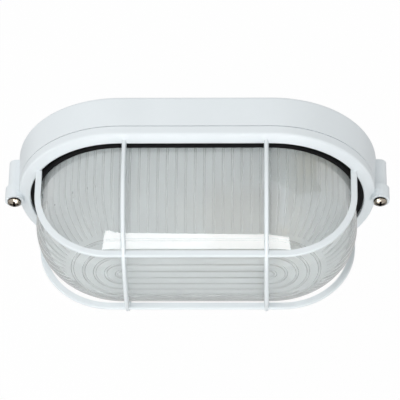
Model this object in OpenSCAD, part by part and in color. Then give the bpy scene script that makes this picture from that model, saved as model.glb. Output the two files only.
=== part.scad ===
// Oval bulkhead light: a die-cast back housing, a ribbed glass bowl in a rubber seal,
// and a die-cast guard whose four hoops stand clear of the glass. Two screws at the ends
// clamp guard, seal and glass to the housing. Millimetres.
// The pieces are drawn lying on their back (X along the light, Y across it, Z away from
// the wall) and then turned upright: the back lies on the plane Y = 0 and the glass
// points along -Y.

/* [Body] */
// Length of the housing and of the guard rim, without the lugs
body_len = 213; // [200:1:236]
// Width of the housing and of the guard rim
body_wid = 125; // [118:1:136]
// Depth of the housing, from the wall to the seam
housing_depth = 20.9; // [19:0.1:26]
// Draft of the housing: how much its side draws in from the back to the seam
draft = 0.8; // [0:0.1:1.2]
// Thickness of the housing's side wall, at the back
housing_wall = 3; // [2.4:0.1:4]
// Thickness of the housing's back
floor_t = 3; // [2:0.1:4]
// Radius of the back edge
back_round = 2.4; // [1:0.1:3.5]
// Thickness of the ledge that carries the seal
land_t = 3; // [2:0.1:3.6]
// Width of the seal's seat on that ledge
land_seat = 5.2; // [4:0.1:6]

/* [Seal] */
// Rubber under the glass flange
seal_under = 1.5; // [1:0.1:2.5]
// Rubber over the glass flange
seal_over = 1.2; // [0.8:0.1:2]
// Rubber around the glass flange
seal_web = 1.6; // [1:0.1:2]
// Thickness of the lip round the foot of the glass
lip_t = 1.8; // [1:0.1:2.2]
// Height of the lip above the flange rubber
lip_h = 2.6; // [1.5:0.1:4]
// Play between the seal and the glass
seal_play = 0.1; // [0.05:0.05:0.2]

/* [Glass] */
// Gap from the guard's opening to the glass wall
glass_gap = 3.4; // [3:0.1:4.5]
// Extra gap at the two ends of the glass
end_gap = 1; // [0:0.1:2]
// Height of the glass front above the seam
glass_rise = 64; // [58:0.5:66]
// Thickness of the glass
glass_t = 4; // [3:0.1:5]
// Radius of the rounded shoulder
shoulder_r = 35; // [28:0.5:38]
// Radius of the slightly crowned front
crown_r = 136; // [110:1:180]
// Width of the clamped flange
flange_w = 5.8; // [4.5:0.1:6]
// Thickness of the clamped flange
flange_t = 3; // [2.5:0.1:4]
// Number of ring ribs inside the front
ring_ribs = 5; // [4:1:6]
// Distance between ring ribs
ring_pitch = 6.3; // [5.5:0.1:6.6]
// Section radius of a ring rib
ring_rib_r = 1; // [0.6:0.1:1.2]
// Distance between the flutes inside the wall, about
flute_pitch = 5.4; // [4.5:0.1:7]
// Section radius of a flute
flute_r = 0.7; // [0.5:0.1:1.2]
// Distance from the outer ring rib to the ends of the flutes
flute_stop = 4; // [3:0.1:6]
// Lift of the flutes' bend over the shoulder's, so that they fade towards their ends
flute_lift = 0.4; // [0.3:0.05:0.6]

/* [Guard] */
// Open seam between guard and housing
seam_gap = 0.5; // [0.3:0.1:1]
// Width of the rim's front face
rim_face = 7; // [6.5:0.1:8]
// Thickness of the rim at its opening
rim_plate = 2.3; // [1.8:0.1:3]
// Rise of the rim's face towards the opening
rim_rise = 1.5; // [1:0.1:1.7]
// Thickness of the rim's skirt
skirt_t = 2.1; // [1.6:0.1:2.4]
// Radius of the rim's outer edge
rim_round = 1.6; // [0.8:0.1:2]
// Gap between the glass front and the cross hoops
hoop_gap = 3.6; // [3:0.1:6]
// Width of a bar at its front
bar_w = 2.2; // [1.8:0.1:2.8]
// Width of a bar at its back
bar_root_w = 2.8; // [2.8:0.1:3.6]
// Depth of a bar
bar_depth = 3.6; // [3.2:0.1:5]
// Radius of a bar's front edges
bar_round = 0.8; // [0.4:0.1:0.9]
// Distance of the bars' middle outside the opening, at their feet
bar_foot_out = 1.5; // [1.4:0.1:2.2]
// Distance by which the long hoops' feet stand nearer the middle than that
long_foot_in = 1.2; // [0:0.1:1.4]
// Distance of the long hoops from the middle
long_hoop_pos = 27; // [22:0.5:30]
// Distance of the cross hoops from the middle
cross_hoop_pos = 41; // [34:0.5:42]
// Bend radius of the long hoops
long_hoop_bend = 42; // [36:0.5:46]
// Bend radius of the cross hoops
cross_hoop_bend = 46; // [43:0.5:48]

/* [Fixings] */
// Distance of the end screws outside the housing's end
lug_out = 1.9; // [1.5:0.1:3.5]
// Radius of the housing's lugs
lug_r = 4.2; // [3.6:0.1:4.6]
// Height at which the housing's lugs begin
lug_start = 2.6; // [1:0.1:6]
// Radius of the guard's lugs
guard_lug_r = 5.6; // [4.8:0.1:6]
// Height of the guard's lugs
guard_lug_h = 8.8; // [7:0.1:9.5]
// Thread diameter of the end screws
end_screw_d = 4; // [3:0.5:4]
// Length of the end screws under the head
end_screw_len = 20; // [16:1:22]
// Head diameter of the end screws
end_head_d = 8; // [7:0.1:9]
// Head height of the end screws
end_head_h = 2.7; // [2.2:0.1:3.2]
// Clearance round a screw in a plain hole
hole_play = 0.25; // [0.15:0.05:0.4]
// Clearance round a screw in a threaded hole
thread_play = 0.05; // [0.02:0.01:0.1]
// Distance between the two wall holes
wall_hole_spacing = 168; // [162:1:176]
// Diameter of the wall holes
wall_hole_d = 5.5; // [4.5:0.1:6]

/* [Cable entry] */
// Diameter of the hole in the housing's lower side
entry_d = 12; // [10:0.5:12]
// Diameter of the cable bore in the grommet
cable_d = 7; // [5:0.5:8]
// Width of the grommet's collars
collar_w = 1.2; // [0.8:0.1:1.2]
// Thickness of the grommet's collars
collar_t = 1.5; // [1:0.1:2.5]

/* [Lamp holder] */
// Height of the lamp's axis above the housing's back plate
lamp_rise = 41; // [39:0.5:44]
// Distance of the holder's back from the housing's end
holder_inset = 48.5; // [46.5:0.5:52.5]
// Diameter of the holder's round base
holder_base_d = 38; // [36:0.5:40]
// Length of the holder's round base
holder_base_len = 14; // [13:0.5:16]
// Diameter of the holder's sleeve
holder_d = 42; // [40:0.5:44]
// Length of the holder's sleeve
holder_len = 36; // [34:0.5:38]
// Thread diameter of the lamp's cap
cap_d = 26.4; // [26:0.1:27]
// Thickness of the thread shell
shell_t = 0.6; // [0.4:0.1:0.8]
// Play round the thread shell and the cap
shell_play = 0.2; // [0.1:0.05:0.3]
// Diameter of the lamp's bulb
bulb_d = 56; // [45:1:60]
// Length of the lamp from its tip to the end of the bulb
lamp_len = 104; // [96:1:110]
// Thickness of the holder's steel bracket
bracket_t = 1.5; // [1.2:0.1:2]
// Width of the bracket
bracket_w = 30; // [28:0.5:34]
// Length of the bracket's foot
bracket_foot = 20; // [18:0.5:21]
// Height of the bosses inside the housing
boss_h = 4; // [3:0.1:6]

/* [Wiring] */
// Length of the terminal block along the light
block_len = 30; // [26:0.5:34]
// Width of the terminal block
block_wid = 17; // [15:0.5:19]
// Height of the terminal block
block_h = 13; // [11:0.5:14]
// Distance of the terminal block's middle from the inside of the lower wall
block_inset = 22.5; // [21.5:0.5:24]
// Diameter of the leads inside
lead_d = 2.4; // [1.8:0.1:2.8]
// Distance of the earth screw from the middle, along the light
earth_x = 36; // [30:0.5:44]

/* [Hidden] */
$fn = 96;
eps = 0.01;

// Plan of the body: half circles of body_r about two centres, joined by straights
body_r = body_wid / 2;
end_x = (body_len - body_wid) / 2;
seam_r = body_r - draft;
glass_end = end_x - end_gap;

// Radii outwards from the glass, and heights outwards from the wall
open_r = seam_r - rim_face;
glass_r = open_r - glass_gap;
flange_r = glass_r + flange_w;
seal_r = flange_r + seal_web;
land_r = seal_r - land_seat;
flange_z = housing_depth + seal_under;
flange_top = flange_z + flange_t;
rim_under = flange_top + seal_over;
rim_top = rim_under + rim_plate;
rim_edge = rim_top - rim_rise;
rim_foot = housing_depth + seam_gap;

// Arcs of the glass: a crowned front that runs into a rounded shoulder
glass_front = housing_depth + glass_rise;
crown_z = glass_front - crown_r;
shoulder_x = glass_r - shoulder_r;
shoulder_z = crown_z + sqrt(pow(crown_r - shoulder_r, 2) - pow(shoulder_x, 2));
crown_end = crown_r * shoulder_x / (crown_r - shoulder_r);

// Hoops, by the middle of their bars
guard_front = glass_front + hoop_gap + bar_depth;
cross_mid = guard_front - bar_depth / 2;
cross_half = open_r + bar_foot_out;
cross_bend_z = cross_mid - cross_hoop_bend;
cross_flat = cross_half - cross_hoop_bend;
long_mid = cross_bend_z + sqrt(pow(cross_hoop_bend, 2) - pow(long_hoop_pos - cross_flat, 2));
long_half = end_x + sqrt(pow(cross_half, 2) - pow(long_hoop_pos, 2)) - long_foot_in;

// End screws
lug_x = body_len / 2 + lug_out;
guard_lug_top = rim_foot + guard_lug_h;
screw_tip = guard_lug_top - end_screw_len;

// Lamp holder, on an axis along X. It is drawn at the -X end and turned to the +X end
lamp_z = floor_t + lamp_rise;
holder_x = holder_inset - body_len / 2;
sleeve_x = holder_x + holder_base_len;
holder_front = sleeve_x + holder_len;
socket_back = 2;
socket_floor = sleeve_x + socket_back;
shell_r = cap_d / 2 + shell_play + shell_t;
socket_r = shell_r + shell_play;
shell_lift = 4;
shell_x = socket_floor + shell_lift;
shell_set_back = 2;
contact_rise = 6;
lamp_tip = socket_floor + contact_rise;
contact_t = 0.8;
contact_w = 6;
contact_len = 11;
contact_bend = 3;
fix_d = 3;
fix_head_d = 5.4;
fix_head_h = 1.6;
fix_y = 9;
nut_w = 5.5;
nut_h = 2.4;
terminal_y = holder_base_d * 0.26;
terminal_screw_len = 7;
terminal_x = holder_x + holder_base_len / 2;
terminal_z = lamp_z + holder_base_d * 0.37;

// Lamp, by distances along its axis from its tip
cap_r = cap_d / 2 - shell_play;
cap_t = 0.6;
cap_end = holder_front - lamp_tip + 1;
cap_floor = 6;
tip_r = 4.5;
tip_step = 1.6;
neck_r = cap_r - cap_t - 0.1;
neck_len = 6;
bulb_z = lamp_len - bulb_d / 2;
bulb_t = 0.9;

// Bracket
foot_z = floor_t + boss_h;
bracket_x = holder_x - bracket_t;
bracket_top = lamp_z + holder_base_d / 2;
foot_screw_x = bracket_x - bracket_foot * 0.55;
foot_screw_y = bracket_w * 0.3;
foot_screw_d = 4;
foot_head_d = 7;
foot_head_h = 2.2;
boss_r = 4.6;

// Terminal block
block_pos = body_r - housing_wall - block_inset;
block_top = floor_t + block_h;
way_x = block_len / 4;
insert_r = 2.6;
insert_z = floor_t + block_h * 0.42;
way_screw_d = 3;
way_screw_len = 5;
way_slot_w = 0.6;
way_slot_h = 0.8;
way_screw_gap = 0.2;
way_screw_z = insert_z + lead_d / 2 + way_screw_gap;
way_screw_y = block_wid * 0.28;
block_screw_d = 3;
block_head_sink = 4;
blind_left = 1.5;
earth_y = -block_pos;
earth_d = 4;
washer_t = 1;

// Cable entry
entry_z = floor_t + (housing_depth - land_t - floor_t) / 2;

// Turns a piece drawn on its back upright against the wall
module on_wall() { rotate([90, 0, 0]) children(); }

// The same for the lamp holder's pieces, turned round to the +X end of the light
module at_holder_end() { on_wall() rotate(180) children(); }

// Sweeps a section, drawn as radius and height, round an oval plan
module around(ends = end_x) {
    for (side = [-1, 1])
        translate([side * ends, 0, 0]) rotate(-side * 90) rotate_extrude(angle = 180) children();
    for (side = [0, 1])
        mirror([0, side, 0]) translate([-ends, 0, 0]) rotate([90, 0, 90])
            linear_extrude(2 * ends) children();
}

// Points of an arc about a centre, from one angle to another
function arc(cx, cy, r, from, to, steps = 6) =
    [for (i = [0:steps]) let (a = from + (to - from) * i / steps) [cx + r * cos(a), cy + r * sin(a)]];

// Plain pan-head screw along +Z, its head's underside at Z = 0
module pan_screw(d, len, head_d, head_h) {
    slot = head_d * 0.17;
    edge_h = head_h * 0.45;
    dome_r = (pow(head_d / 2, 2) + pow(head_h - edge_h, 2)) / (2 * (head_h - edge_h));
    translate([0, 0, -len]) cylinder(d = d, h = len + eps);
    difference() {
        intersection() {
            cylinder(d = head_d, h = head_h);
            translate([0, 0, head_h - dome_r]) sphere(dome_r);
        }
        for (turn = [0, 90]) rotate(turn)
            translate([-head_d * 0.32, -slot / 2, head_h * 0.35]) cube([head_d * 0.64, slot, head_h]);
    }
}

// Points along a smooth curve through a route's points
function curve(route, steps = 4) = let (last = len(route) - 1) concat(
    [for (i = [0:last - 1], k = [0:steps - 1])
        let (t = k / steps, p0 = route[max(i - 1, 0)], p1 = route[i], p2 = route[i + 1],
             p3 = route[min(i + 2, last)])
        p1 + 0.5 * t * (p2 - p0 + t * (2 * p0 - 5 * p1 + 4 * p2 - p3 + t * (3 * (p1 - p2) + p3 - p0)))],
    [route[last]]);

// A lead: an eight-sided tube along the smooth curve through its route
module lead(route) {
    sides = 8;
    path = curve(route);
    last = len(path) - 1;
    aside = [1, 1, 0.5];
    function unit(v) = v / norm(v);
    points = [for (i = [0:last])
        let (run = unit(path[min(i + 1, last)] - path[max(i - 1, 0)]),
             across = unit(cross(run, aside)), over = cross(run, across))
        for (k = [0:sides - 1]) let (a = 360 * k / sides)
            path[i] + lead_d / 2 * (cos(a) * across + sin(a) * over)];
    faces = [for (i = [0:last - 1], k = [0:sides - 1])
        let (near = i * sides, far = near + sides, next = (k + 1) % sides)
        each [[near + k, far + k, far + next], [near + k, far + next, near + next]]];
    start_cap = [for (k = [0:sides - 1]) k];
    end_cap = [for (k = [sides - 1:-1:0]) last * sides + k];
    polyhedron(points, concat(faces, [start_cap, end_cap]));
}

// Housing section: back plate, side wall and the ledge for the seal
module housing_section() {
    polygon(concat(
        [[0, 0]],
        arc(body_r - back_round, back_round, back_round, -90, 0),
        [[seam_r, housing_depth], [land_r, housing_depth], [land_r, housing_depth - land_t],
         [body_r - housing_wall, housing_depth - land_t], [body_r - housing_wall, floor_t], [0, floor_t]]));
}

module housing() color("whitesmoke") on_wall() difference() {
    union() {
        around() housing_section();
        for (side = [-1, 1]) {
            translate([side * lug_x, 0, lug_start]) cylinder(r = lug_r, h = housing_depth - lug_start);
            lug_web(side, lug_r, lug_start, housing_depth, body_r - housing_wall);
        }
        for (side = [-1, 1])
            translate([-foot_screw_x, side * foot_screw_y, floor_t - eps])
                cylinder(r = boss_r, h = boss_h + eps);
        translate([earth_x, earth_y, floor_t - eps]) cylinder(r = boss_r, h = boss_h + eps);
    }
    for (side = [-1, 1]) {
        translate([side * lug_x, 0, screw_tip - 1])
            cylinder(d = end_screw_d + 2 * thread_play, h = housing_depth);
        translate([side * wall_hole_spacing / 2, 0, -1]) cylinder(d = wall_hole_d, h = floor_t + 2);
        translate([-foot_screw_x, side * foot_screw_y, 1])
            cylinder(d = foot_screw_d + 2 * thread_play, h = foot_z);
    }
    translate([earth_x, earth_y, 1]) cylinder(d = earth_d + 2 * thread_play, h = foot_z);
    translate([0, -block_pos, 1]) cylinder(d = block_screw_d + 2 * thread_play, h = floor_t);
    translate([0, -body_r + housing_wall + 1, entry_z]) rotate([90, 0, 0])
        cylinder(d = entry_d, h = housing_wall + 2);
}

// Web that joins a lug to the end of the body, starting inside the wall
module lug_web(side, r, from_z, to_z, wall_r) {
    start = end_x + wall_r + 1;
    translate([side > 0 ? start : -lug_x, -r, from_z]) cube([lug_x - start, 2 * r, to_z - from_z]);
}

// Guard rim section: skirt, rounded edge and a face that rises to the opening
module rim_section() {
    lean = atan2(rim_rise, rim_face);
    skirt_r = seam_r - skirt_t;
    edge_r = min(rim_round, skirt_t);
    polygon(concat(
        [[seam_r, rim_foot]],
        arc(seam_r - edge_r, rim_edge - edge_r, edge_r, 0, 90 - lean),
        arc(open_r + rim_plate / 3, rim_top - rim_plate / 3, rim_plate / 3, 90 - lean, 180, 4),
        [[open_r, rim_under], [skirt_r, rim_under], [skirt_r, rim_foot]]));
}

// Bar section about its middle: depth along X, width along Y, rounded at the front
function bar_points() = let (front = bar_depth / 2, half = bar_w / 2, r = bar_round) concat(
    [[-front, -bar_root_w / 2]],
    arc(front - r, r - half, r, -90, 0, 3),
    arc(front - r, half - r, r, 0, 90, 3),
    [[-front, bar_root_w / 2]]);

// A hoop in the XZ plane: two legs, two bends and a straight front
module hoop(half, mid, bend) {
    flat = half - bend;
    foot = rim_under + rim_plate / 4;
    for (side = [0, 1]) mirror([side, 0, 0]) {
        translate([half, 0, foot]) linear_extrude(mid - bend - foot) polygon(bar_points());
        translate([flat, 0, mid - bend]) rotate([90, 0, 0]) rotate_extrude(angle = 90)
            translate([bend, 0]) polygon(bar_points());
    }
    translate([-flat, 0, mid]) rotate([90, 0, 90]) linear_extrude(2 * flat)
        polygon([for (p = bar_points()) [p[1], p[0]]]);
}

module guard() color("white") on_wall() difference() {
    union() {
        around() rim_section();
        for (side = [-1, 1]) {
            translate([0, side * long_hoop_pos, 0]) hoop(long_half, long_mid, long_hoop_bend);
            translate([side * cross_hoop_pos, 0, 0]) rotate(90)
                hoop(cross_half, cross_mid, cross_hoop_bend);
            translate([side * lug_x, 0, rim_foot]) cylinder(r = guard_lug_r, h = guard_lug_h);
            lug_web(side, guard_lug_r, rim_foot, rim_edge - rim_round, seam_r - skirt_t);
        }
    }
    for (side = [-1, 1]) translate([side * lug_x, 0, rim_foot - 1])
        cylinder(d = end_screw_d + 2 * hole_play, h = guard_lug_h + 2);
}

// Outline of the glass from its foot to the middle of its front, drawn in by an inset
module bowl_section(inset, foot) {
    wall = glass_r - inset;
    front_r = crown_r - inset;
    translate([0, foot]) square([wall, shoulder_z - foot]);
    intersection() {
        translate([shoulder_x, shoulder_z]) circle(shoulder_r - inset);
        translate([0, shoulder_z - eps]) square([wall + 1, glass_rise]);
    }
    intersection() {
        translate([0, crown_z]) circle(front_r, $fn = 360);
        translate([0, shoulder_z - eps]) square([front_r * crown_end / crown_r, glass_rise]);
    }
}

// Height of the inner face of the front at a radius
function inner_z(r) = let (front_r = crown_r - glass_t)
    r < front_r * crown_end / crown_r
        ? crown_z + sqrt(pow(front_r, 2) - pow(r, 2))
        : shoulder_z + sqrt(pow(shoulder_r - glass_t, 2) - pow(r - shoulder_x, 2));

// Radius of a ring rib's round end
function ring_r(i) = (i - 0.5) * ring_pitch;

// One flute: a round ridge that runs up the inside of the wall and over the shoulder
module flute() {
    bend = shoulder_r - glass_t;
    turn = acos((ring_r(ring_ribs) + flute_stop - shoulder_x) / bend);
    bend_z = shoulder_z + flute_lift;
    translate([glass_r - glass_t, 0, flange_z - 2]) cylinder(r = flute_r, h = bend_z - flange_z + 2);
    translate([shoulder_x, 0, bend_z]) rotate([90, 0, 0]) rotate_extrude(angle = turn)
        translate([bend, 0]) circle(flute_r);
}

// Flutes round both ends and along both straights
module flutes() {
    bends = round(PI * glass_r / flute_pitch);
    runs = round(2 * glass_end / flute_pitch);
    for (side = [0, 1]) mirror([side, 0, 0]) translate([glass_end, 0, 0])
        for (i = [0:bends]) rotate(180 * i / bends - 90) flute();
    for (side = [0, 1], i = [1:runs - 1])
        mirror([0, side, 0]) translate([glass_end * (1 - 2 * i / runs), 0, 0]) rotate(90) flute();
}

module glass_bowl() color([0.82, 0.84, 0.84, 0.75]) on_wall() difference() {
    around(glass_end) union() {
        bowl_section(0, flange_z);
        translate([0, flange_z]) square([flange_r, flange_t]);
    }
    difference() {
        around(glass_end) difference() {
            bowl_section(glass_t, flange_z - 1);
            for (i = [1:ring_ribs]) translate([ring_r(i), inner_z(ring_r(i))]) circle(ring_rib_r);
        }
        flutes();
    }
}

module glass_seal() color("black") on_wall() around(glass_end) {
    inner_r = glass_r + seal_play;
    lip_top = rim_under + lip_h;
    polygon([
        [land_r, housing_depth], [seal_r, housing_depth], [seal_r, rim_under],
        [inner_r + lip_t, rim_under], [inner_r + lip_t, lip_top - lip_t / 2],
        [inner_r + lip_t / 2, lip_top], [inner_r, lip_top], [inner_r, flange_top],
        [flange_r + seal_play, flange_top], [flange_r + seal_play, flange_z], [land_r, flange_z]]);
}

module end_screws() color("silver") on_wall() for (side = [-1, 1])
    translate([side * lug_x, 0, guard_lug_top])
        pan_screw(end_screw_d, end_screw_len, end_head_d, end_head_h);

// Lays a piece drawn along +Z onto the lamp's axis, along +X
module on_lamp_axis(x) { translate([x, 0, lamp_z]) rotate([0, 90, 0]) children(); }

module holder_body() color("saddlebrown") at_holder_end() difference() {
    union() {
        on_lamp_axis(holder_x) cylinder(d = holder_base_d, h = holder_base_len + eps);
        on_lamp_axis(sleeve_x) cylinder(d = holder_d, h = holder_len);
    }
    on_lamp_axis(socket_floor) cylinder(r = socket_r, h = holder_len);
    translate([holder_x - 1, -holder_base_d, terminal_z])
        cube([holder_base_len + 1, 2 * holder_base_d, holder_base_d]);
    for (side = [-1, 1]) {
        translate([holder_x - 1, side * fix_y, lamp_z]) rotate([0, 90, 0])
            cylinder(d = fix_d + 2 * hole_play, h = holder_len);
        translate([terminal_x, side * terminal_y, terminal_z - terminal_screw_len - 1])
            cylinder(d = fix_d + 2 * thread_play, h = terminal_screw_len + 2);
    }
}

module holder_shell() color("goldenrod") at_holder_end() on_lamp_axis(shell_x) difference() {
    cylinder(r = shell_r, h = holder_front - shell_x - shell_set_back);
    translate([0, 0, -1]) cylinder(r = shell_r - shell_t, h = holder_len);
}

// Centre contact: a brass strip on the socket's floor, bent forward to the lamp's tip
module holder_contact() color("gold") at_holder_end()
    translate([0, contact_w / 2, lamp_z]) rotate([90, 0, 0]) linear_extrude(contact_w) polygon([
        [socket_floor, -contact_len], [socket_floor + contact_t, -contact_len],
        [socket_floor + contact_t, -contact_bend], [lamp_tip, contact_bend - contact_t],
        [lamp_tip - contact_t, contact_bend], [socket_floor, contact_t - contact_bend]]);

module holder_screws() color("silver") at_holder_end() for (side = [-1, 1])
    translate([socket_floor, side * fix_y, lamp_z]) rotate([0, 90, 0])
        pan_screw(fix_d, socket_floor - bracket_x + nut_h + 1, fix_head_d, fix_head_h);

module holder_nuts() color("silver") at_holder_end() for (side = [-1, 1])
    translate([bracket_x - nut_h, side * fix_y, lamp_z]) rotate([0, 90, 0]) difference() {
        cylinder(d = nut_w / cos(30), h = nut_h, $fn = 6);
        translate([0, 0, -1]) cylinder(d = fix_d + 2 * thread_play, h = nut_h + 2);
    }

module holder_terminal_screws() color("gold") at_holder_end() for (side = [-1, 1])
    translate([terminal_x, side * terminal_y, terminal_z])
        pan_screw(fix_d, terminal_screw_len, fix_head_d, fix_head_h);

// Steel angle: a foot on two bosses and an upright behind the holder
module holder_bracket() color("darkkhaki") at_holder_end() difference() {
    union() {
        translate([bracket_x, -bracket_w / 2, foot_z]) cube([bracket_t, bracket_w, bracket_top - foot_z]);
        translate([bracket_x - bracket_foot, -bracket_w / 2, foot_z])
            cube([bracket_foot + bracket_t, bracket_w, bracket_t]);
    }
    for (side = [-1, 1]) {
        translate([foot_screw_x, side * foot_screw_y, foot_z - 1])
            cylinder(d = foot_screw_d + 2 * hole_play, h = bracket_t + 2);
        translate([bracket_x - 1, side * fix_y, lamp_z]) rotate([0, 90, 0])
            cylinder(d = fix_d + 2 * hole_play, h = bracket_t + 2);
    }
}

module bracket_screws() color("silver") at_holder_end() for (side = [-1, 1])
    translate([foot_screw_x, side * foot_screw_y, foot_z + bracket_t])
        pan_screw(foot_screw_d, foot_z + bracket_t - blind_left, foot_head_d, foot_head_h);

// Outline of the bulb from its neck to its far end, drawn in by an inset
module bulb_section(inset, neck_z) {
    neck = neck_r - inset;
    waist = bulb_d * 0.4 - inset;
    polygon([[0, neck_z], [neck, neck_z], [neck, cap_end], [waist, bulb_z - bulb_d * 0.3], [0, bulb_z]]);
    intersection() {
        translate([0, bulb_z]) circle(d = bulb_d - 2 * inset);
        translate([0, bulb_z - bulb_d]) square(2 * bulb_d);
    }
}

// Bulb of clear glass, open at its neck, which stands in the cap
module lamp_bulb() color([0.9, 0.92, 0.92, 0.4]) at_holder_end() on_lamp_axis(lamp_tip)
    rotate_extrude() difference() {
        bulb_section(0, cap_end - neck_len);
        bulb_section(bulb_t, cap_end - neck_len - 1);
    }

// Screw cap: a plated cup with a stepped end and the contact at its tip
module lamp_cap() color("silver") at_holder_end() on_lamp_axis(lamp_tip) rotate_extrude()
    polygon([[0, 0], [tip_r, 0], [tip_r + tip_step, tip_step], [cap_r - 2 * tip_step, 2 * tip_step],
             [cap_r, 3 * tip_step], [cap_r, cap_end], [cap_r - cap_t, cap_end],
             [cap_r - cap_t, cap_floor], [0, cap_floor]]);

module terminal_block() color("beige") on_wall() difference() {
    translate([-block_len / 2, -block_pos - block_wid / 2, floor_t]) cube([block_len, block_wid, block_h]);
    for (side = [-1, 1]) {
        translate([side * way_x, -block_pos - block_wid / 2 - 1, insert_z]) rotate([-90, 0, 0])
            cylinder(r = insert_r + hole_play, h = block_wid + 2);
        for (end = [-1, 1]) translate([side * way_x, -block_pos + end * way_screw_y, insert_z])
            cylinder(d = way_screw_d + 1, h = block_h);
    }
    translate([0, -block_pos, floor_t - 1]) cylinder(d = block_screw_d + 2 * hole_play, h = block_h + 2);
    translate([0, -block_pos, block_top - block_head_sink])
        cylinder(d = fix_head_d + 1, h = block_head_sink + 1);
}

module terminal_inserts() color("goldenrod") on_wall() for (side = [-1, 1]) difference() {
    translate([side * way_x, -block_pos - block_wid / 2 + 1, insert_z]) rotate([-90, 0, 0])
        cylinder(r = insert_r, h = block_wid - 2);
    translate([side * way_x, -block_pos - block_wid / 2 - 1, insert_z]) rotate([-90, 0, 0])
        cylinder(d = lead_d + 2 * thread_play, h = block_wid + 2);
    for (end = [-1, 1]) translate([side * way_x, -block_pos + end * way_screw_y, insert_z])
        cylinder(d = way_screw_d + 2 * thread_play, h = block_h);
}

module terminal_screws() color("silver") on_wall() for (side = [-1, 1], end = [-1, 1])
    translate([side * way_x, -block_pos + end * way_screw_y, way_screw_z]) difference() {
        cylinder(d = way_screw_d, h = way_screw_len);
        translate([-way_screw_d, -way_slot_w / 2, way_screw_len - way_slot_h])
            cube([2 * way_screw_d, way_slot_w, 2 * way_slot_h]);
    }

module block_screw() color("silver") on_wall() translate([0, -block_pos, block_top - block_head_sink])
    pan_screw(block_screw_d, block_top - block_head_sink - blind_left, fix_head_d, fix_head_h);

module earth_screw() color("gold") on_wall() translate([earth_x, earth_y, foot_z + washer_t])
    pan_screw(earth_d, foot_z + washer_t - blind_left, foot_head_d, foot_head_h);

module earth_washer() color("silver") on_wall() translate([earth_x, earth_y, foot_z]) difference() {
    cylinder(d = foot_head_d + 1, h = washer_t);
    translate([0, 0, -1]) cylinder(d = earth_d + 2 * hole_play, h = washer_t + 2);
}

// Rubber grommet: a neck in the wall between two collars
module cable_grommet() color("black") on_wall()
    translate([0, -body_r - collar_t, entry_z]) rotate([-90, 0, 0]) difference() {
        union() {
            cylinder(d = entry_d - 2 * thread_play, h = housing_wall + 2 * collar_t);
            cylinder(d = entry_d + 2 * collar_w, h = collar_t);
            translate([0, 0, collar_t + housing_wall]) cylinder(d = entry_d + 2 * collar_w, h = collar_t);
        }
        translate([0, 0, -1]) cylinder(d = cable_d, h = housing_wall + 2 * collar_t + 2);
    }

// Leads from the terminal block to the holder's terminal screws: straight out of the block,
// up beside the holder and over onto the flat that carries the screws
block_side = -block_pos + block_wid / 2;
lead_x = -terminal_x;
lead_start = block_side - insert_r;
lead_bow = holder_d / 2 + 2.5 * lead_d;
lead_lean = holder_d / 2 + 1.25 * lead_d;
lead_side = terminal_y + fix_head_d / 2 + lead_d / 2;
lead_top = terminal_z + lead_d / 2;
lead_low = lamp_z - holder_d / 4;
lead_high = terminal_z - 2.5 * lead_d;
function lead_end(side) = [[lead_x, side * lead_bow, lead_low], [lead_x, side * lead_lean, lead_high],
                           [lead_x, side * lead_side, lead_top]];
function lead_out(x) = [for (y = [lead_start, block_side + 1, block_side + 4]) [x, y, insert_z]];

module live_lead() color("linen") on_wall() lead(concat(
    lead_out(way_x), [[lead_x * 0.46, -lead_bow - 1, insert_z + 1.7 * lead_d]], lead_end(-1)));

module neutral_lead() color("lightsteelblue") on_wall() lead(concat(
    lead_out(-way_x), [[lead_x * 0.4, -holder_d / 5, floor_t + 2 * lead_d],
    [lead_x * 0.7, holder_d / 2, floor_t + 3.7 * lead_d]], lead_end(1)));

housing();
guard();
glass_bowl();
glass_seal();
end_screws();
holder_body();
holder_shell();
holder_contact();
holder_screws();
holder_nuts();
holder_terminal_screws();
holder_bracket();
bracket_screws();
lamp_bulb();
lamp_cap();
terminal_block();
terminal_inserts();
terminal_screws();
block_screw();
earth_screw();
earth_washer();
cable_grommet();
live_lead();
neutral_lead();
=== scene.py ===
import math

import bpy
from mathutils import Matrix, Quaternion, Vector

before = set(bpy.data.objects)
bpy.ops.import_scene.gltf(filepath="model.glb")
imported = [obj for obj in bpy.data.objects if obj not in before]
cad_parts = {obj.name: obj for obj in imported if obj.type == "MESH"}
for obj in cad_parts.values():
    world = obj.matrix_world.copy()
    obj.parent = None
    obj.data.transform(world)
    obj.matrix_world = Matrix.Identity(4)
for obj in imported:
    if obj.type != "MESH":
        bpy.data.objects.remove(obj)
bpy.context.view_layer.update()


# Housing: a shallow oval tray, die-cast in aluminium and powder-coated satin white.
# Its flat back lies on the wall, and two lugs at its ends take the screws of the guard.
# The coat shows the fine orange peel of baked powder and small shifts of tone.
def start_material(name, color, roughness, metallic=0.0):
    material = bpy.data.materials.new(name)
    material.use_nodes = True
    shader = material.node_tree.nodes["Principled BSDF"]
    shader.inputs["Base Color"].default_value = (*color, 1.0)
    shader.inputs["Roughness"].default_value = roughness
    shader.inputs["Metallic"].default_value = metallic
    return material, shader


def add_node(material, kind, **sockets):
    node = material.node_tree.nodes.new(kind)
    for socket, value in sockets.items():
        node.inputs[socket].default_value = value
    return node


def wire(material, output, socket):
    material.node_tree.links.new(output, socket)


def object_noise(material, size, detail):
    """Noise whose grains measure about size metres on the piece."""
    place = add_node(material, "ShaderNodeTexCoord")
    noise = add_node(material, "ShaderNodeTexNoise", Scale=1.0 / size, Detail=detail)
    wire(material, place.outputs["Object"], noise.inputs["Vector"])
    return noise


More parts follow.
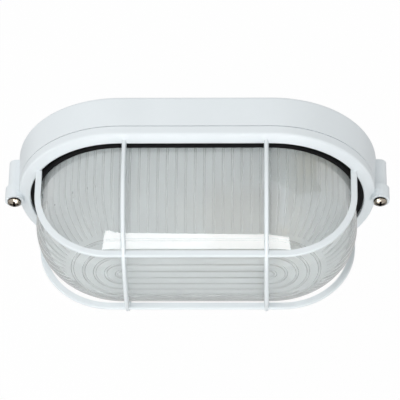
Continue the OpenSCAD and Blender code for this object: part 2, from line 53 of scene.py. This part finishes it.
def vary_tone(material, shader, noise, low, high):
    """Lets the base colour drift between two tones."""
    ramp = add_node(material, "ShaderNodeValToRGB")
    ramp.color_ramp.elements[0].position = 0.3
    ramp.color_ramp.elements[0].color = (*low, 1.0)
    ramp.color_ramp.elements[1].position = 0.7
    ramp.color_ramp.elements[1].color = (*high, 1.0)
    wire(material, noise.outputs["Fac"], ramp.inputs["Fac"])
    wire(material, ramp.outputs["Color"], shader.inputs["Base Color"])


def vary_gloss(material, shader, noise, low, high):
    """Lets the roughness drift between two values."""
    spread = add_node(material, "ShaderNodeMapRange")
    spread.inputs["To Min"].default_value = low
    spread.inputs["To Max"].default_value = high
    wire(material, noise.outputs["Fac"], spread.inputs["Value"])
    wire(material, spread.outputs["Result"], shader.inputs["Roughness"])


def raise_grain(material, shader, noise, depth, strength=1.0):
    """Turns a noise into relief of about depth metres."""
    bump = add_node(material, "ShaderNodeBump", Strength=strength, Distance=depth)
    wire(material, noise.outputs["Fac"], bump.inputs["Height"])
    wire(material, bump.outputs["Normal"], shader.inputs["Normal"])


def finish_node(name, material):
    """Gives a CAD node its finish."""
    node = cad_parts[name]
    node.data.materials.clear()
    node.data.materials.append(material)
    return node


paint_white = (0.785, 0.835, 0.86)
paint_shade = (0.76, 0.81, 0.835)
powder_coat, powder_shader = start_material("white_powder_coat", paint_white, roughness=0.36)
coat_clouds = object_noise(powder_coat, size=0.03, detail=3.0)
vary_tone(powder_coat, powder_shader, coat_clouds, low=paint_shade, high=paint_white)
coat_sheen = object_noise(powder_coat, size=0.004, detail=2.0)
vary_gloss(powder_coat, powder_shader, coat_sheen, low=0.32, high=0.42)
orange_peel = object_noise(powder_coat, size=0.0011, detail=2.0)
raise_grain(powder_coat, powder_shader, orange_peel, depth=0.00004)
finish_node("housing", powder_coat)

# Cable grommet: black rubber, buttoned into the hole in the housing's lower side.
# Moulded rubber is matt, with a fine grain and a little grey bloom.
rubber_black = (0.004, 0.004, 0.0045)
rubber_bloom = (0.008, 0.008, 0.0085)
black_rubber, rubber_shader = start_material("black_rubber", rubber_black, roughness=0.75)
rubber_shader.inputs["Specular IOR Level"].default_value = 0.12
bloom_clouds = object_noise(black_rubber, size=0.008, detail=3.0)
vary_tone(black_rubber, rubber_shader, bloom_clouds, low=rubber_black, high=rubber_bloom)
rubber_grain = object_noise(black_rubber, size=0.0006, detail=2.0)
raise_grain(black_rubber, rubber_shader, rubber_grain, depth=0.00003)
finish_node("cable_grommet", black_rubber)

# Terminal block: a two-way strip moulded in cream plastic and screwed to the housing's back.
# Brass inserts with plated grub screws grip the wires.
block_cream = (0.74, 0.71, 0.62)
block_shade = (0.68, 0.65, 0.56)
block_plastic, block_shader = start_material("cream_plastic", block_cream, roughness=0.42)
block_clouds = object_noise(block_plastic, size=0.006, detail=2.0)
vary_tone(block_plastic, block_shader, block_clouds, low=block_shade, high=block_cream)
block_grain = object_noise(block_plastic, size=0.0008, detail=2.0)
raise_grain(block_plastic, block_shader, block_grain, depth=0.00002)
finish_node("terminal_block", block_plastic)

brass_bright = (0.76, 0.57, 0.27)
brass_dull = (0.62, 0.44, 0.20)
turned_brass, brass_shader = start_material("turned_brass", brass_bright, roughness=0.28, metallic=1.0)
brass_clouds = object_noise(turned_brass, size=0.003, detail=3.0)
vary_tone(turned_brass, brass_shader, brass_clouds, low=brass_dull, high=brass_bright)
brass_sheen = object_noise(turned_brass, size=0.0012, detail=2.0)
vary_gloss(turned_brass, brass_shader, brass_sheen, low=0.2, high=0.38)
for name in ("terminal_inserts", "earth_screw"):
    finish_node(name, turned_brass)

# Screws: steel with a bright nickel plate, slightly warm and a little clouded.
# They hold the block, the bracket, the holder and the earth washer.
nickel_bright = (0.36, 0.32, 0.27)
nickel_dull = (0.14, 0.12, 0.10)
nickel_plate, nickel_shader = start_material("nickel_plate", nickel_bright, roughness=0.2, metallic=1.0)
nickel_clouds = object_noise(nickel_plate, size=0.0025, detail=3.0)
vary_tone(nickel_plate, nickel_shader, nickel_clouds, low=nickel_dull, high=nickel_bright)
nickel_sheen = object_noise(nickel_plate, size=0.001, detail=2.0)
vary_gloss(nickel_plate, nickel_shader, nickel_sheen, low=0.12, high=0.28)
for name in ("terminal_screws", "block_screw", "earth_washer", "bracket_screws", "holder_screws",
             "holder_nuts"):
    finish_node(name, nickel_plate)

# End screws: the same plate on the two screws that clamp the guard. The domed heads keep the plate's own
# tone, and the cross recess and the edge round each head are painted dark as painted shade.
head_bright = (0.34, 0.30, 0.25)
recess_shade_color = (0.018, 0.013, 0.010)
dome_center = (0.1084, 0.02677, 0.0)
dome_radius = 0.00613
shade_start = 0.00009
shade_depth = 0.0003
shade_painted_plate, head_shader = start_material("shade_painted_plate", head_bright, roughness=0.2, metallic=1.0)
head_sheen = object_noise(shade_painted_plate, size=0.001, detail=2.0)
vary_gloss(shade_painted_plate, head_shader, head_sheen, low=0.12, high=0.3)
head_place = add_node(shade_painted_plate, "ShaderNodeTexCoord")
either_head = add_node(shade_painted_plate, "ShaderNodeVectorMath")
either_head.operation = "ABSOLUTE"
wire(shade_painted_plate, head_place.outputs["Object"], either_head.inputs[0])
from_center = add_node(shade_painted_plate, "ShaderNodeVectorMath")
from_center.operation = "DISTANCE"
from_center.inputs[1].default_value = dome_center
wire(shade_painted_plate, either_head.outputs["Vector"], from_center.inputs[0])
# Painted shade: points a little below the dome's surface, in the cross recess and round the edge, turn
# dark.
under_dome = add_node(shade_painted_plate, "ShaderNodeMapRange")
under_dome.inputs["From Min"].default_value = dome_radius - shade_depth
under_dome.inputs["From Max"].default_value = dome_radius - shade_start
wire(shade_painted_plate, from_center.outputs["Value"], under_dome.inputs["Value"])
head_ramp = add_node(shade_painted_plate, "ShaderNodeValToRGB")
head_ramp.color_ramp.elements[0].color = (*recess_shade_color, 1.0)
head_ramp.color_ramp.elements[1].color = (*head_bright, 1.0)
wire(shade_painted_plate, under_dome.outputs["Result"], head_ramp.inputs["Fac"])
wire(shade_painted_plate, head_ramp.outputs["Color"], head_shader.inputs["Base Color"])
finish_node("end_screws", shade_painted_plate)

# Leads: two single wires in pale heat-resistant sleeves, a warm one for live and a cool one for neutral.
# They run from the terminal block up to the brass screws on the lamp holder.
lead_colors = {"live_lead": (0.62, 0.55, 0.48), "neutral_lead": (0.52, 0.57, 0.63)}
sleeve_fading = 1.25
for name, color in lead_colors.items():
    pale = tuple(min(1.0, sleeve_fading * part) for part in color)
    soft_plastic, lead_shader = start_material(name + "_plastic", color, roughness=0.4)
    sleeve_clouds = object_noise(soft_plastic, size=0.005, detail=2.0)
    vary_tone(soft_plastic, lead_shader, sleeve_clouds, low=color, high=pale)
    sleeve_grain = object_noise(soft_plastic, size=0.0007, detail=2.0)
    raise_grain(soft_plastic, lead_shader, sleeve_grain, depth=0.00002)
    finish_node(name, soft_plastic)

# Bracket: an angle bent from zinc-plated steel strip, screwed to two bosses of the housing.
# The plate is passivated yellow, with a faint mottled spangle.
zinc_bright = (0.42, 0.35, 0.18)
zinc_dull = (0.30, 0.25, 0.12)
zinc_strip, zinc_shader = start_material("zinc_strip", zinc_bright, roughness=0.32, metallic=1.0)
zinc_spangle = object_noise(zinc_strip, size=0.004, detail=4.0)
vary_tone(zinc_strip, zinc_shader, zinc_spangle, low=zinc_dull, high=zinc_bright)
zinc_sheen = object_noise(zinc_strip, size=0.0015, detail=2.0)
vary_gloss(zinc_strip, zinc_shader, zinc_sheen, low=0.25, high=0.42)
finish_node("holder_bracket", zinc_strip)

# Lamp holder: a body of brown-glazed porcelain with a brass thread shell and centre contact.
# Two screws hold it to the bracket, and two brass screws take the leads.
glaze_brown = (0.13, 0.105, 0.06)
glaze_dark = (0.09, 0.072, 0.04)
brown_porcelain, glaze_shader = start_material("brown_porcelain", glaze_brown, roughness=0.3)
glaze_shader.inputs["Coat Weight"].default_value = 0.6
glaze_shader.inputs["Coat Roughness"].default_value = 0.08
glaze_clouds = object_noise(brown_porcelain, size=0.012, detail=3.0)
vary_tone(brown_porcelain, glaze_shader, glaze_clouds, low=glaze_dark, high=glaze_brown)
finish_node("holder_body", brown_porcelain)
for name in ("holder_shell", "holder_contact", "holder_terminal_screws"):
    finish_node(name, turned_brass)

# Lamp: a bulb of thin clear glass in a plated screw cap, turned into the holder.
# Blown glass is smooth and almost colourless, and the cap is stamped and plated like the screws.
bulb_tint = (0.97, 0.98, 0.98)
clear_glass, bulb_shader = start_material("clear_glass", bulb_tint, roughness=0.02)
bulb_shader.inputs["Transmission Weight"].default_value = 1.0
bulb_shader.inputs["IOR"].default_value = 1.45
finish_node("lamp_bulb", clear_glass)
finish_node("lamp_cap", nickel_plate)

# Seal: one black rubber ring round the flange of the glass. Its lip shows as a dark band
# between the rim of the guard and the foot of the glass.
finish_node("glass_seal", black_rubber)

# Bowl: pressed glass with flutes up the inside of its wall and ring ribs behind its front.
# The outside is fire-polished and only faintly milky. The inside is satin, so the ribs catch
# the light and the lamp shows only as a soft shape.
glass_grey = (0.965, 1.0, 1.0)
outer_clear = 0.77
inner_clear = 0.72
outer_rough = 0.03
inner_rough = 0.5
pressed_glass, glass_shader = start_material("pressed_glass", glass_grey, outer_rough)
glass_shader.inputs["IOR"].default_value = 1.3
glass_shader.inputs["Coat Roughness"].default_value = 0.03
glass_shader.inputs["Coat IOR"].default_value = 1.6
glass_side = add_node(pressed_glass, "ShaderNodeNewGeometry")
for socket, outer, inner in (("Transmission Weight", outer_clear, inner_clear),
                             ("Roughness", outer_rough, inner_rough),
                             ("Coat Weight", 1.0, 0.0)):
    by_side = add_node(pressed_glass, "ShaderNodeMapRange")
    by_side.inputs["To Min"].default_value = outer
    by_side.inputs["To Max"].default_value = inner
    wire(pressed_glass, glass_side.outputs["Backfacing"], by_side.inputs["Value"])
    wire(pressed_glass, by_side.outputs["Result"], glass_shader.inputs[socket])
# In the middle of each round end, the turned front closes to a point, where the smooth shading
# pinches. The flat facets are shaded there instead.
crown_point = (0.043, 0.0849, 0.0)
crown_radius = 0.0046
glass_place = add_node(pressed_glass, "ShaderNodeTexCoord")
one_quarter = add_node(pressed_glass, "ShaderNodeVectorMath")
one_quarter.operation = "ABSOLUTE"
wire(pressed_glass, glass_place.outputs["Object"], one_quarter.inputs[0])
crown_distance = add_node(pressed_glass, "ShaderNodeVectorMath")
crown_distance.operation = "DISTANCE"
crown_distance.inputs[1].default_value = crown_point
wire(pressed_glass, one_quarter.outputs["Vector"], crown_distance.inputs[0])
at_crown = add_node(pressed_glass, "ShaderNodeMath")
at_crown.operation = "LESS_THAN"
at_crown.inputs[1].default_value = crown_radius
wire(pressed_glass, crown_distance.outputs["Value"], at_crown.inputs[0])
vector_a = 4
vector_b = 5
vector_result = 1
glass_normal = add_node(pressed_glass, "ShaderNodeMix")
glass_normal.data_type = "VECTOR"
wire(pressed_glass, at_crown.outputs["Value"], glass_normal.inputs[0])
wire(pressed_glass, glass_side.outputs["Normal"], glass_normal.inputs[vector_a])
wire(pressed_glass, glass_side.outputs["True Normal"], glass_normal.inputs[vector_b])
for socket in ("Normal", "Coat Normal"):
    wire(pressed_glass, glass_normal.outputs[vector_result], glass_shader.inputs[socket])
# The flutes stand proud of the inner wall and shoulder, and the ring ribs of the inner front; where they
# stand proud the colour is painted darker, as painted shade for the dark lines the ribs show.
# The depth of a point is measured from the bend that the shoulder is turned about.
flute_painted_shade = (0.74, 0.77, 0.77)
end_center = 0.043
bend_center = 0.0163
bend_start = 0.04858
wall_bend = 0.031
flute_start = 0.00007
flute_depth = 0.0007


def past(output, edge):
    """How far a measure is past an edge, or zero."""
    beyond = add_node(pressed_glass, "ShaderNodeMath")
    beyond.operation = "SUBTRACT"
    beyond.inputs[1].default_value = edge
    wire(pressed_glass, output, beyond.inputs[0])
    kept = add_node(pressed_glass, "ShaderNodeMath")
    kept.operation = "MAXIMUM"
    kept.inputs[1].default_value = 0.0
    wire(pressed_glass, beyond.outputs["Value"], kept.inputs[0])
    return kept.outputs["Value"]


def span(first, second):
    """The length of the slant over two measures at right angles."""
    sides = add_node(pressed_glass, "ShaderNodeCombineXYZ")
    wire(pressed_glass, first, sides.inputs["X"])
    wire(pressed_glass, second, sides.inputs["Y"])
    slant = add_node(pressed_glass, "ShaderNodeVectorMath")
    slant.operation = "LENGTH"
    wire(pressed_glass, sides.outputs["Vector"], slant.inputs[0])
    return slant.outputs["Value"]


glass_axes = add_node(pressed_glass, "ShaderNodeSeparateXYZ")
wire(pressed_glass, one_quarter.outputs["Vector"], glass_axes.inputs["Vector"])
from_axis = span(past(glass_axes.outputs["X"], end_center), glass_axes.outputs["Z"])
from_bend = span(past(from_axis, bend_center), past(glass_axes.outputs["Y"], bend_start))
flute_fade = add_node(pressed_glass, "ShaderNodeMapRange")
flute_fade.inputs["From Min"].default_value = wall_bend - flute_depth
flute_fade.inputs["From Max"].default_value = wall_bend - flute_start
wire(pressed_glass, from_bend, flute_fade.inputs["Value"])
# Painted shade: the base colour darkens from the glass grey towards the crest of each rib.
flute_ramp = add_node(pressed_glass, "ShaderNodeValToRGB")
flute_ramp.color_ramp.elements[0].color = (*flute_painted_shade, 1.0)
flute_ramp.color_ramp.elements[1].color = (*glass_grey, 1.0)
wire(pressed_glass, flute_fade.outputs["Result"], flute_ramp.inputs["Fac"])
wire(pressed_glass, flute_ramp.outputs["Color"], glass_shader.inputs["Base Color"])
finish_node("glass_bowl", pressed_glass)

# Guard: an oval rim with four slim hoops, die-cast in one piece and coated like the housing.
# Two screws through its lugs clamp the seal and the glass to the housing.
# Gloss passes it by, so the bowl shows no mirror image of the hoops.
guard = finish_node("guard", powder_coat)
guard.visible_glossy = False

# Studio: a pale floor, a soft even sky, two softboxes, and three cards that show only in gloss.
# The floor and the sky show as plain white, and the floor still takes a faint shadow.
# From below, the floor lets the view through to the object.
floor_height = -0.30
floor_size = 8.0
bpy.ops.object.select_all(action="DESELECT")
bpy.ops.mesh.primitive_plane_add(size=floor_size, location=(0, 0, floor_height))
floor = bpy.context.object
floor.name = "studio_floor"
bpy.ops.object.transform_apply(location=True, rotation=True, scale=True)

floor_paper, floor_shader = start_material("floor_paper", (0.9, 0.9, 0.9), roughness=0.9)
seen_white = add_node(floor_paper, "ShaderNodeEmission", Strength=1.0)
seen_white.inputs["Color"].default_value = (1.0, 1.0, 1.0, 1.0)


def seen_directly(material):
    """One where a camera, glossy or transmission ray arrives, and zero elsewhere."""
    path = add_node(material, "ShaderNodeLightPath")
    first = add_node(material, "ShaderNodeMath")
    first.operation = "MAXIMUM"
    wire(material, path.outputs["Is Camera Ray"], first.inputs[0])
    wire(material, path.outputs["Is Glossy Ray"], first.inputs[1])
    both = add_node(material, "ShaderNodeMath")
    both.operation = "MAXIMUM"
    wire(material, first.outputs[0], both.inputs[0])
    wire(material, path.outputs["Is Transmission Ray"], both.inputs[1])
    return both.outputs[0]


white_share = 0.97
share = add_node(floor_paper, "ShaderNodeMath")
share.operation = "MULTIPLY"
share.inputs[1].default_value = white_share
wire(floor_paper, seen_directly(floor_paper), share.inputs[0])
floor_mix = add_node(floor_paper, "ShaderNodeMixShader")
wire(floor_paper, share.outputs[0], floor_mix.inputs["Fac"])
wire(floor_paper, floor_shader.outputs["BSDF"], floor_mix.inputs[1])
wire(floor_paper, seen_white.outputs["Emission"], floor_mix.inputs[2])
floor_side = add_node(floor_paper, "ShaderNodeNewGeometry")
see_through = add_node(floor_paper, "ShaderNodeBsdfTransparent")
side_mix = add_node(floor_paper, "ShaderNodeMixShader")
wire(floor_paper, floor_side.outputs["Backfacing"], side_mix.inputs["Fac"])
wire(floor_paper, floor_mix.outputs["Shader"], side_mix.inputs[1])
wire(floor_paper, see_through.outputs["BSDF"], side_mix.inputs[2])
wire(floor_paper, side_mix.outputs["Shader"],
     floor_paper.node_tree.nodes["Material Output"].inputs["Surface"])
floor.data.materials.append(floor_paper)

sky_level = 0.62
seen_level = 1.0
float_a = 2
float_b = 3
sky = bpy.data.worlds.new("studio_sky")
bpy.context.scene.world = sky
sky.use_nodes = True
sky_light = sky.node_tree.nodes["Background"]
sky_light.inputs["Color"].default_value = (1.0, 1.0, 1.0, 1.0)
sky_strength = add_node(sky, "ShaderNodeMix")
sky_strength.data_type = "FLOAT"
sky_strength.inputs[float_a].default_value = sky_level
sky_strength.inputs[float_b].default_value = seen_level
wire(sky, seen_directly(sky), sky_strength.inputs[0])
wire(sky, sky_strength.outputs[0], sky_light.inputs["Strength"])


def softbox(name, place, target, width, height, power):
    lamp_data = bpy.data.lights.new(name, "AREA")
    lamp_data.shape = "RECTANGLE"
    lamp_data.size = width
    lamp_data.size_y = height
    lamp_data.energy = power
    box = bpy.data.objects.new(name, lamp_data)
    bpy.context.scene.collection.objects.link(box)
    box.location = place
    box.rotation_euler = (Vector(target) - Vector(place)).to_track_quat("-Z", "Y").to_euler()
    box.visible_camera = False
    return box


object_middle = (0.0, -0.04, 0.0)
front_light = softbox("front_softbox", place=(0.3, -1.6, 0.3), target=object_middle,
                      width=1.2, height=1.0, power=6.0)
front_light.visible_glossy = False
top_light = softbox("top_softbox", place=(-0.5, -0.6, 1.3), target=object_middle,
                    width=1.0, height=1.0, power=9.0)
top_light.visible_glossy = False


def mirror_card(name, place, target, width, height, material):
    """A card that shows only in what is glossy: it gives no light and throws no shadow."""
    bpy.ops.object.select_all(action="DESELECT")
    bpy.ops.mesh.primitive_plane_add(size=1.0)
    card = bpy.context.object
    card.name = name
    card.scale = (width, height, 1.0)
    card.location = place
    card.rotation_euler = (Vector(target) - Vector(place)).to_track_quat("Z", "Y").to_euler()
    bpy.ops.object.transform_apply(location=True, rotation=True, scale=True)
    card.data.materials.append(material)
    card.visible_camera = False
    card.visible_diffuse = False
    card.visible_transmission = False
    card.visible_shadow = False
    return card


def card_tone(name, color, strength=1.0):
    """A plain tone, shown as it is written, or brighter."""
    material, shader = start_material(name, (0.0, 0.0, 0.0), roughness=1.0)
    shader.inputs["Specular IOR Level"].default_value = 0.0
    shader.inputs["Emission Color"].default_value = (*color, 1.0)
    shader.inputs["Emission Strength"].default_value = strength
    material.cycles.emission_sampling = "NONE"
    return material


grey_tone = card_tone("grey_card_tone", (0.5, 0.5, 0.5))
mirror_card("grey_card", place=(0.0, 0.05, -0.28), target=(0.0, 0.05, 0.0),
            width=1.2, height=0.8, material=grey_tone)

fade_length = 0.14
fade_dark = (0.13, 0.11, 0.05)
warm_tone = card_tone("warm_card_tone", (1.0, 1.0, 1.0))
card_place = add_node(warm_tone, "ShaderNodeTexCoord")
card_axes = add_node(warm_tone, "ShaderNodeSeparateXYZ")
wire(warm_tone, card_place.outputs["Object"], card_axes.inputs["Vector"])
card_fade = add_node(warm_tone, "ShaderNodeMapRange")
card_fade.inputs["From Min"].default_value = 0.0
card_fade.inputs["From Max"].default_value = fade_length
wire(warm_tone, card_axes.outputs["X"], card_fade.inputs["Value"])
card_ramp = add_node(warm_tone, "ShaderNodeValToRGB")
card_ramp.color_ramp.elements[0].color = (1.0, 1.0, 1.0, 1.0)
card_ramp.color_ramp.elements[1].color = (*fade_dark, 1.0)
wire(warm_tone, card_fade.outputs["Result"], card_ramp.inputs["Fac"])
warm_shader = warm_tone.node_tree.nodes["Principled BSDF"]
wire(warm_tone, card_ramp.outputs["Color"], warm_shader.inputs["Emission Color"])
mirror_card("warm_card", place=(0.45, 0.55, 0.75), target=object_middle,
            width=1.2, height=0.9, material=warm_tone)

strip_tone = card_tone("strip_card_tone", (1.0, 1.0, 1.0), strength=7.0)
strip_card = mirror_card("strip_card", place=(0.0, 0.0, 0.0), target=(0.0, 0.0, 1.0),
                         width=1.0, height=1.0, material=strip_tone)
strip_front = -0.55
strip_corners = ((-0.178, -0.193), (0.170, -0.193), (-0.205, 0.171), (0.199, 0.045))
for corner, (across, up) in zip(strip_card.data.vertices, strip_corners):
    corner.co = (across, strip_front, up)

# Camera: a long lens from the front and well above, turned a little to the right.
camera_elevation = math.radians(54.25)
camera_azimuth = math.radians(2.2)
camera_roll = math.radians(-1.86)
camera_distance = 1.5995
camera_target = Vector((0.00232, -0.0447, 0.02128))
focal_pixels = 2743.6
picture_pixels = 400
toward = Vector((math.sin(camera_azimuth) * math.cos(camera_elevation),
                 -math.cos(camera_azimuth) * math.cos(camera_elevation),
                 math.sin(camera_elevation)))
lens = bpy.data.cameras.new("camera")
lens.sensor_width = 36.0
lens.lens = lens.sensor_width * focal_pixels / picture_pixels
lens.clip_start = 0.05
camera = bpy.data.objects.new("camera", lens)
bpy.context.scene.collection.objects.link(camera)
camera.location = camera_target + camera_distance * toward
aim = (-toward).to_track_quat("-Z", "Y") @ Quaternion((0.0, 0.0, 1.0), camera_roll)
camera.rotation_euler = aim.to_euler()
bpy.context.scene.camera = camera
bpy.context.scene.view_settings.view_transform = "Standard"
